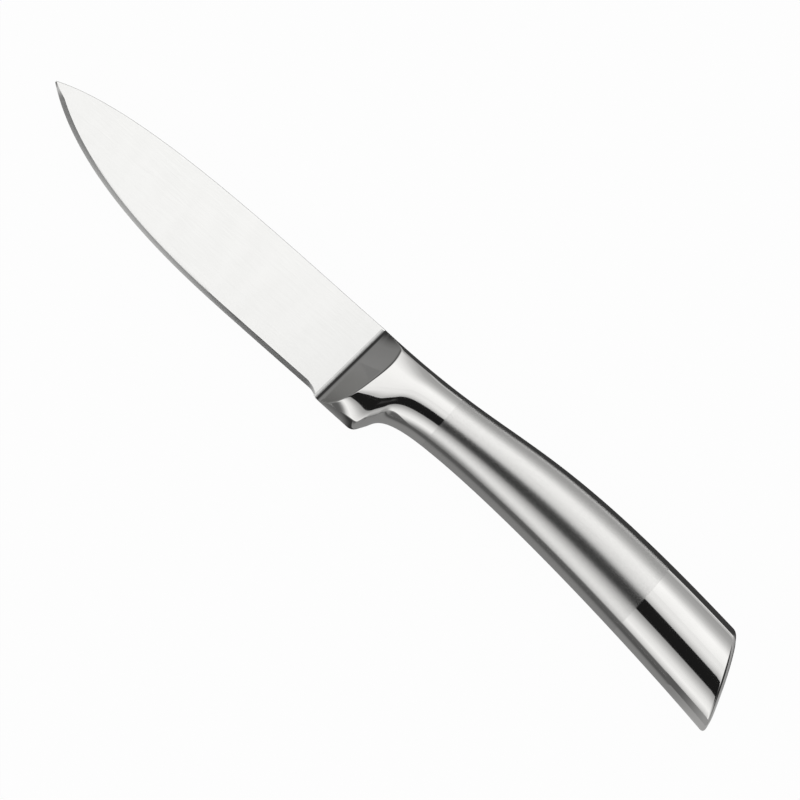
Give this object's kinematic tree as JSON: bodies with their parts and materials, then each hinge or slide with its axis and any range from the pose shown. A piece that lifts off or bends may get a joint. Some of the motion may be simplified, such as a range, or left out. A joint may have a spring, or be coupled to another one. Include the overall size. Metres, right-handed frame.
{
  "type": "kitchen knife",
  "caption": "Small all-steel kitchen knife with a wedge-ground blade, ramped bolster with finger notch, and a hollow welded handle with a slanted domed butt.",
  "frame": {"origin": "under the middle of the knife's box, on the surface that it lies on", "axes": "the knife lies on its right side: +X from the tip to the butt, +Y from the cutting edge to the spine, +Z out of the left face"},
  "size_m": [0.2034, 0.026, 0.0151],
  "materials": {
    "blade_steel": "fine lengthwise satin grind, nearly white under soft light",
    "polished_steel": "mirror polished stainless steel",
    "grip_steel": "fine matt blasted grip zone between mirror polished ends",
    "weld_steel": "weld filler ground flush and polished",
    "resin": "cast amber resin, matt"
  },
  "bodies": {
    "root": {"blade": "blade_steel", "bolster": "polished_steel", "blade_weld_left": "weld_steel", "blade_weld_right": "weld_steel", "handle_shell_left": "grip_steel", "handle_shell_right": "grip_steel", "spine_seam_weld": "grip_steel", "belly_seam_weld": "grip_steel", "bolster_ring_weld": "weld_steel", "butt_ring_weld": "weld_steel", "butt_cap": "polished_steel", "tang_potting": "resin"}
  },
  "joints": []
}
